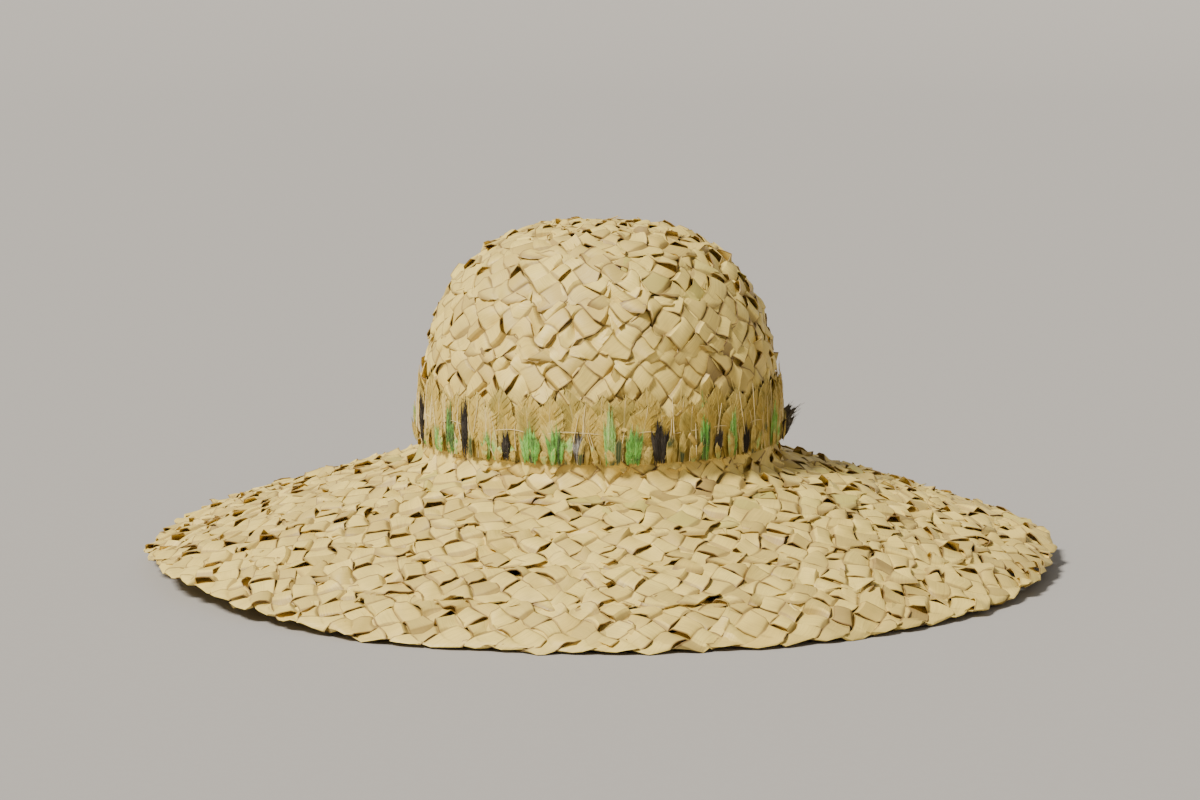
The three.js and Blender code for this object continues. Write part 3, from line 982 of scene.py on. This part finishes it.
def plume_group(name, form, nodes, style, look, material):
    """All plumes of one colour, each a small fan of feathers where its solid stands."""
    rng = np.random.default_rng(SEEDS[name])
    mesh = FeatherMesh(rng)
    for number, node in enumerate(nodes):
        spot = plume_place(form, node)
        tints = style.tints[number % len(style.tints)]
        # A tuft that leans out of the band is turned edge on to the crown, so that its blades fan outwards.
        stands_out = spot.lean > PLUME.stands_out
        fan = PLUME.fan + PLUME.fan_by_lean * spot.lean
        blade_width = spot.width * style.width * (PLUME.standing_width if stands_out else 1)
        for blade, spread in enumerate(np.linspace(-1, 1, style.blades)):
            shorter = PLUME.outer_drop * abs(spread) ** PLUME.drop_power
            feather = Feather(
                form,
                angle=spot.angle + spread * PLUME.spread * spot.width / form.mouth_radius,
                foot=spot.foot + rng.uniform(*PLUME.foot),
                rise=spot.rise * (1 - shorter + rng.uniform(*PLUME.rise)),
                width=blade_width * rng.uniform(*PLUME.width),
                out=form.crown_face + PLUME.out + PLUME.layer * (blade % PLUME.layers),
                lean=spot.lean * rng.uniform(*PLUME.lean),
                sway=spread * spot.width * fan + rng.normal(0, PLUME.sway),
                tint=np.clip((tints if blade % 2 == 0 else tints[::-1]) + rng.normal(0, PLUME.tint), 0, 1),
                broadest=style.broadest,
                base=PLUME.base,
                twist=PLUME.standing_twist if stands_out else rng.normal(0, PLUME.twist),
            )
            mesh.add_vane(feather, *PLUME.vane)
            mesh.add_barbs(feather, style.barbs, PLUME.barb_width, PLUME.barb_stray)
    return finished_piece(name, mesh.bm, material, look.sheet)


# Materials


class Tree:
    """Adds and joins the nodes of one material or node group."""

    def __init__(self, tree):
        self.tree = tree

    def add(self, kind, inputs=None, **settings):
        node = self.tree.nodes.new(kind)
        for name, value in settings.items():
            setattr(node, name, value)
        self.feed(node, inputs or {})
        return node

    def feed(self, node, inputs):
        """Links a node's inputs to sockets, or sets them to plain values."""
        for name, value in inputs.items():
            if isinstance(value, bpy.types.NodeSocket):
                self.tree.links.new(value, node.inputs[name])
            else:
                node.inputs[name].default_value = value

    def math(self, operation, *values):
        return self.add("ShaderNodeMath", dict(enumerate(values)), operation=operation).outputs[0]

    def times(self, first, second):
        return self.math("MULTIPLY", first, second)

    def most(self, first, second):
        return self.math("MAXIMUM", first, second)

    def spread(self, value, low, high, to_low=0.0, to_high=1.0):
        """A value's stretch from low to high, run smoothly into another one."""
        node = self.add(
            "ShaderNodeMapRange",
            {"Value": value, "From Min": low, "From Max": high, "To Min": to_low, "To Max": to_high},
            interpolation_type="SMOOTHSTEP",
        )
        return node.outputs["Result"]

    def mix(self, share, first, second, blend="MIX"):
        inputs = {0: share, 6: first, 7: second}
        return self.add("ShaderNodeMix", inputs, data_type="RGBA", blend_type=blend).outputs[2]

    def noise(self, vector, scale, detail, roughness=0.5):
        inputs = {"Vector": vector, "Scale": scale, "Detail": detail, "Roughness": roughness}
        return self.add("ShaderNodeTexNoise", inputs).outputs["Fac"]

    def parts(self, vector):
        """The three values of a vector."""
        return self.add("ShaderNodeSeparateXYZ", {"Vector": vector}).outputs[:]

    def layer(self, name):
        """A layer of the piece's own mesh, as three values."""
        return self.parts(self.add("ShaderNodeAttribute", attribute_name=name).outputs["Vector"])

    def vector(self, x, y, z):
        return self.add("ShaderNodeCombineXYZ", {"X": x, "Y": y, "Z": z}).outputs["Vector"]

    def places(self, kind="Object"):
        return self.add("ShaderNodeTexCoord").outputs[kind]

    def ramp(self, value, stops):
        """Colours along a value, from pairs of place and colour."""
        node = self.add("ShaderNodeValToRGB", {"Fac": value})
        elements = node.color_ramp.elements
        while len(elements) < len(stops):
            elements.new(0.5)
        for element, (place, colour) in zip(elements, stops):
            element.position = place
            element.color = opaque(colour)
        return node.outputs["Color"]

    def bump(self, height, distance):
        inputs = {"Height": height, "Strength": 0.5, "Distance": distance}
        return self.add("ShaderNodeBump", inputs).outputs["Normal"]


def opaque(colour):
    return (*colour, 1.0)


def new_material(name):
    """A new material with only its shader and output."""
    material = bpy.data.materials.new(name)
    material.use_nodes = True
    tree = Tree(material.node_tree)
    material.node_tree.nodes.clear()
    shader = tree.add("ShaderNodeBsdfPrincipled")
    output = tree.add("ShaderNodeOutputMaterial", {"Surface": shader.outputs["BSDF"]})
    output.is_active_output = True
    return material, tree, shader


def leaf_material(look):
    """Dry leaf: pale satin strips with fine veins, brown margins that also stand in for shadow lines, painted
    shade in seams, notches and dives, and a tint of their own.
    """
    material, tree, shader = new_material("plaited_leaf")
    length, across, own = tree.layer("leaf")
    tint, facet, seam = tree.layer("shade")
    dip, stain, _ = tree.layer("depth")
    # Veins run along a strip, and each strip has its own.
    grain = tree.vector(tree.times(length, 55.0), tree.times(across, 9.0), tree.times(own, 37.0))
    veins = tree.noise(grain, 1.0, 4.0, 0.6)
    places = tree.places()
    blotch = tree.noise(places, 70.0, 3.0)
    weather = tree.noise(places, 11.0, 2.0)

    colour = tree.ramp(tint, [
        (0.00, look.tan),
        (0.08, look.straw),
        (0.50, look.pale),
        (0.95, look.straw),
        (0.99, look.sage),
    ])
    # What each tone follows, from and to which of its values, how strong the tone is there, and the tone
    for value, low, high, at_low, at_high, tone in (
        (facet, 0.3, 1.0, 0.0, 0.6, look.pale),
        (facet, 0.0, 0.34, 0.62, 0.0, look.tan),
        (facet, 0.004, 0.012, 0.7, 0.0, look.rust),
        (blotch, 0.45, 0.75, 0.0, 0.4, look.tan),
        (weather, 0.55, 0.8, 0.0, 0.2, look.sage),
        (veins, 0.35, 0.75, 0.0, 0.4, look.tan),
    ):
        colour = tree.mix(tree.spread(value, low, high, at_low, at_high), colour, opaque(tone))

    # Brown leaf margins, made strong enough to stand in for the shadow lines along facet edges, and painted
    # shade in the seams, in the dips where a strip dives and in the notches where margins meet a seam
    side = tree.math("ABSOLUTE", across)
    margin = tree.times(tree.spread(side, 0.84, 0.98), tree.spread(blotch, 0.2, 0.6))
    notch = tree.times(tree.spread(side, 0.55, 0.95), tree.spread(seam, 0.4, 1.0))
    margins_and_painted_shade = tree.most(tree.times(margin, 0.9), tree.spread(seam, 0.45, 1.0, 0.0, 0.6))
    margins_and_painted_shade = tree.most(margins_and_painted_shade, tree.spread(dip, 0.25, 0.9, 0.0, 0.75))
    margins_and_painted_shade = tree.most(margins_and_painted_shade, tree.times(notch, 0.85))
    # Mixes in rust: real brown margins, plus painted shade along edges, seams, dips and notches
    colour = tree.mix(margins_and_painted_shade, colour, opaque(look.rust))

    # The stain sits in the margins, dips and blotches, and is faint on the upper side.
    soaked = tree.most(tree.most(margin, dip), tree.spread(blotch, 0.44, 0.60, 0.1, 0.9))
    below = tree.spread(tree.parts(tree.places("Normal"))[2], -0.3, 0.3, 1.0, 0.3)
    soaked = tree.times(tree.times(stain, soaked), below)
    tree.feed(shader, {
        "Base Color": tree.mix(soaked, colour, opaque(look.stain)),
        "Roughness": tree.spread(veins, 0.2, 0.8, 0.42, 0.62),
        "Normal": tree.bump(veins, 0.0004),
        "Specular IOR Level": 0.4,
    })
    return material


def barb_group():
    """A feather's barbs, from its blade layer: masks of barbs, edges, foot and shaft, and its uneven tint.
    The barbs and foot masks also lay painted shade.
    """
    group = bpy.data.node_groups.new("feather_barbs", "ShaderNodeTree")
    tree = Tree(group)
    across, up, tint = tree.layer("blade")
    side = tree.math("ABSOLUTE", across)
    # Barbs rise outwards from the shaft, and each feather has its own.
    slant = tree.math("SUBTRACT", tree.times(up, 26.0), tree.times(side, 13.0))
    barbs = tree.noise(tree.vector(slant, tree.times(across, 1.2), tree.times(tint, 23.0)), 1.0, 3.0, 0.65)
    cloud = tree.noise(tree.places(), 160.0, 2.0)
    shaft = tree.spread(tint, -0.6, -0.4, 1.0, 0.0)
    results = {
        "Tint": tree.math("ADD", tint, tree.spread(cloud, 0.25, 0.75, -0.2, 0.2)),
        "Barbs": tree.spread(barbs, 0.32, 0.68),
        "Rim": tree.most(tree.spread(side, 0.55, 1.0), tree.spread(up, 0.7, 1.0)),
        # Foot mask: where painted shade darkens the feather, strongest at its root
        "Foot": tree.spread(up, 0.0, 0.4, 1.0, 0.0),
        "Rib": tree.most(shaft, tree.spread(side, 0.0, 0.08, 0.3, 0.0)),
        "Roughness": tree.spread(barbs, 0.2, 0.8, 0.6, 0.9),
    }
    for name in results:
        group.interface.new_socket(name, in_out="OUTPUT", socket_type="NodeSocketFloat")
    tree.add("NodeGroupOutput", results)
    return group


def feather_material(name, stops, edge_colour, shaft_colour, sheen):
    """A feather with its own ramp of tints, with painted shade between its barbs and at its foot, and with a
    paler edge and shaft.
    """
    material, tree, shader = new_material(name)
    group = bpy.data.node_groups.get("feather_barbs") or barb_group()
    barbs = tree.add("ShaderNodeGroup", node_tree=group).outputs
    colour = tree.ramp(barbs["Tint"], stops)
    # The mask of each tone, its strength, the tone, and how it is laid on
    for mask, strength, tone, blend in (
        # Painted shade between the barbs
        ("Barbs", 0.55, (0.50, 0.46, 0.40), "MULTIPLY"),
        ("Rim", 0.45, edge_colour, "MIX"),
        # Painted shade at the feather's foot, where the feathers overlap
        ("Foot", 0.6, (0.60, 0.58, 0.45), "MULTIPLY"),
    ):
        colour = tree.mix(tree.times(barbs[mask], strength), colour, opaque(tone), blend)
    tree.feed(shader, {
        "Base Color": tree.mix(barbs["Rib"], colour, opaque(shaft_colour)),
        "Roughness": barbs["Roughness"],
        "Normal": tree.bump(barbs["Barbs"], 0.0003),
        "Sheen Weight": sheen,
        "Sheen Roughness": 0.5,
        "Sheen Tint": opaque(edge_colour),
    })
    return material


def shared_leaf_material():
    """The leaf's material, made at its first use."""
    return bpy.data.materials.get("plaited_leaf") or leaf_material(bpy.context.scene.capeline_plait)


def golden_material(look):
    stops = [(0.1, look.olive), (0.5, look.gold), (0.95, look.buff)]
    return feather_material("golden_feather", stops, look.buff, look.shaft, GOLDEN.sheen)


def fringe_material(look):
    stops = [
        (0.02, look.moss),
        (0.12, look.olive),
        (0.3, look.buff),
        (0.6, look.gold),
        (0.78, look.lime),
        (0.95, look.green),
    ]
    return feather_material("fringe_feather", stops, look.buff, look.shaft, GOLDEN.sheen)


def green_material(look):
    stops = [(0.05, look.moss), (0.4, look.green), (0.85, look.lime)]
    return feather_material("green_feather", stops, look.lime, look.lime, GREEN_PLUME.sheen)


def black_material(look):
    stops = [(0.1, look.black), (0.5, look.slate), (0.95, look.white)]
    return feather_material("black_feather", stops, look.black, look.slate, BLACK_PLUME.sheen)


# Operators


class CAPELINE_OT_brim_plait(bpy.types.Operator):
    """Plait the rows of the brim"""

    bl_idname = "capeline.brim_plait"
    bl_label = "Brim Plait"

    def execute(self, context):
        form, look = HatForm(context.scene.capeline_shape), context.scene.capeline_plait
        rows, material, seed = look.brim_rows, shared_leaf_material(), SEEDS["brim_plait"]
        for row in range(rows):
            # The outer seam, between the last two rows, is the stained one.
            stained_side = {rows - 2: 1, rows - 1: -1}.get(row, 0)
            name, is_rim = f"brim_plait_{row + 1}", row == rows - 1
            piece = plait_row(
                name, form, form.brim, rows, row, look, material, seed + row, stained_side, is_rim
            )
            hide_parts("brim")
        return {"FINISHED"}


class CAPELINE_OT_crown_plait(bpy.types.Operator):
    """Plait the rows of the crown and weave its tip"""

    bl_idname = "capeline.crown_plait"
    bl_label = "Crown Plait"

    def execute(self, context):
        form, look = HatForm(context.scene.capeline_shape), context.scene.capeline_plait
        rows, material, seed = look.crown_rows, shared_leaf_material(), SEEDS["crown_plait"]
        pieces = [crown_tip("crown_tip", form, look, material)]
        for row in range(rows - 1):
            name = f"crown_plait_{row + 1}"
            pieces.append(plait_row(name, form, form.crown, rows, row, look, material, seed + row))
        for piece in pieces:
            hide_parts("crown")
        return {"FINISHED"}


class CAPELINE_OT_leaf_slivers(bpy.types.Operator):
    """Let loose leaf ends stand out of the seams"""

    bl_idname = "capeline.leaf_slivers"
    bl_label = "Leaf Slivers"

    def execute(self, context):
        form, look = HatForm(context.scene.capeline_shape), context.scene.capeline_plait
        material = shared_leaf_material()
        brim = leaf_slivers("brim_slivers", form, form.brim, look.brim_rows, look, material)
        crown = leaf_slivers("crown_slivers", form, form.crown, look.crown_rows, look, material)
        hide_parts("brim")
        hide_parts("crown")
        return {"FINISHED"}


class CAPELINE_OT_golden_feathers(bpy.types.Operator):
    """Tie the golden feathers round the crown"""

    bl_idname = "capeline.golden_feathers"
    bl_label = "Golden Feathers"

    def execute(self, context):
        form, look = HatForm(context.scene.capeline_shape), context.scene.capeline_feathers
        material = golden_material(look)
        pieces = [golden_ring(name, form, look, material) for name in GOLDEN_RINGS]
        pieces.append(foot_fringe("foot_fringe", form, look, fringe_material(look)))
        pieces.append(binding_thread("binding_thread", form, look, material))
        for piece in pieces:
            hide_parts("feather_band")
        return {"FINISHED"}


class CAPELINE_OT_plumes(bpy.types.Operator):
    """Set the green feathers and the black tufts in front of the golden ones"""

    bl_idname = "capeline.plumes"
    bl_label = "Coloured Plumes"

    def execute(self, context):
        form, look = HatForm(context.scene.capeline_shape), context.scene.capeline_feathers
        nodes = plume_nodes("green")
        piece = plume_group("green_plumes", form, nodes, GREEN_PLUME, look, green_material(look))
        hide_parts(*nodes)
        nodes = plume_nodes("black")
        piece = plume_group("black_plumes", form, nodes, BLACK_PLUME, look, black_material(look))
        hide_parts(*nodes)
        return {"FINISHED"}


# The studio


def add_camera(scene, look):
    """The camera in front of the hat and a little above it."""
    target = Vector((0, 0, CAD_BOX[1].z * look.aim))
    direction = Vector((0, -math.cos(look.elevation), math.sin(look.elevation)))
    camera = bpy.data.objects.new("camera", bpy.data.cameras.new("camera"))
    camera.location = target + direction * look.distance
    camera.rotation_euler = direction.to_track_quat("Z", "Y").to_euler()
    hat_width = CAD_BOX[1].x - CAD_BOX[0].x
    camera.data.lens = camera.data.sensor_width * look.distance * look.fill / hat_width
    scene.collection.objects.link(camera)
    scene.camera = camera


def floor_material(look):
    material, tree, shader = new_material("pale_floor")
    grain = tree.spread(tree.noise(tree.places(), 180.0, 3.0), 0.3, 0.7, 0.0, 0.05)
    colour = tree.mix(grain, opaque(look.floor), opaque(look.floor_grain))
    tree.feed(shader, {"Base Color": colour, "Roughness": 0.85})
    return material


def add_backdrop(scene, look):
    """A wide round floor with a smooth low rise all round it."""
    bend = np.linspace(0, look.slope, BEND_POINTS)
    radii = look.floor_radius + look.sweep * np.sin(bend)
    heights = look.sweep * (1 - np.cos(bend))
    radii = [0, *radii, radii[-1] + look.sweep * math.cos(look.slope)]
    heights = [0, *heights, heights[-1] + look.sweep * math.sin(look.slope)]
    bm = bmesh.new()
    verts = [bm.verts.new((radius, 0, height)) for radius, height in zip(radii, heights)]
    edges = [bm.edges.new(pair) for pair in zip(verts, verts[1:])]
    bmesh.ops.spin(
        bm,
        geom=verts + edges,
        cent=(0, 0, 0),
        axis=(0, 0, 1),
        angle=FULL_TURN,
        steps=FLOOR_STEPS,
        use_merge=True,
    )
    bmesh.ops.remove_doubles(bm, verts=bm.verts[:], dist=WELD)
    bmesh.ops.recalc_face_normals(bm, faces=bm.faces[:])
    if sum(face.normal.z for face in bm.faces) < 0:
        bmesh.ops.reverse_faces(bm, faces=bm.faces[:])
    mesh = bpy.data.meshes.new("backdrop")
    bm.to_mesh(mesh)
    bm.free()
    mesh.shade_smooth()
    backdrop = bpy.data.objects.new("backdrop", mesh)
    scene.collection.objects.link(backdrop)
    mesh.materials.append(floor_material(look))


def add_lights(scene, look):
    """A broad main light from the front left and an even light from all round."""
    world = bpy.data.worlds.new("studio")
    world.use_nodes = True
    background = world.node_tree.nodes["Background"]
    background.inputs["Color"].default_value = opaque(look.fill_colour)
    background.inputs["Strength"].default_value = look.fill_light
    scene.world = world
    light = bpy.data.objects.new("key", bpy.data.lights.new("key", "SUN"))
    light.data.energy = look.key
    light.data.angle = look.softness
    light.data.color = look.key_colour
    light.rotation_euler = Vector(look.key_from).to_track_quat("Z", "Y").to_euler()
    scene.collection.objects.link(light)


class CAPELINE_OT_studio(bpy.types.Operator):
    """Set the camera, the floor and the lights"""

    bl_idname = "capeline.studio"
    bl_label = "Studio"

    def execute(self, context):
        look = context.scene.capeline_studio
        add_camera(context.scene, look)
        add_backdrop(context.scene, look)
        add_lights(context.scene, look)
        return {"FINISHED"}


class CAPELINE_PT_panel(bpy.types.Panel):
    """Steps of the capeline, in order"""

    bl_label = "Capeline"
    bl_idname = "CAPELINE_PT_panel"
    bl_space_type = "VIEW_3D"
    bl_region_type = "UI"
    bl_category = "Capeline"

    def draw(self, context):
        for step in STEPS:
            self.layout.operator(step.bl_idname)


GROUPS = {
    "capeline_shape": CapelineShape,
    "capeline_plait": CapelinePlait,
    "capeline_feathers": CapelineFeathers,
    "capeline_studio": CapelineStudio,
}
STEPS = (
    CAPELINE_OT_studio,
    CAPELINE_OT_brim_plait,
    CAPELINE_OT_crown_plait,
    CAPELINE_OT_leaf_slivers,
    CAPELINE_OT_golden_feathers,
    CAPELINE_OT_plumes,
)
CLASSES = (*GROUPS.values(), *STEPS, CAPELINE_PT_panel)


def register():
    for cls in CLASSES:
        bpy.utils.register_class(cls)
    for name, group in GROUPS.items():
        setattr(bpy.types.Scene, name, bpy.props.PointerProperty(type=group))


def unregister():
    for name in GROUPS:
        delattr(bpy.types.Scene, name)
    for cls in reversed(CLASSES):
        bpy.utils.unregister_class(cls)


def main():
    register()
    bpy.ops.capeline.studio()
    bpy.ops.capeline.brim_plait()
    bpy.ops.capeline.crown_plait()
    bpy.ops.capeline.leaf_slivers()
    bpy.ops.capeline.golden_feathers()
    bpy.ops.capeline.plumes()


if __name__ == "__main__":
    main()
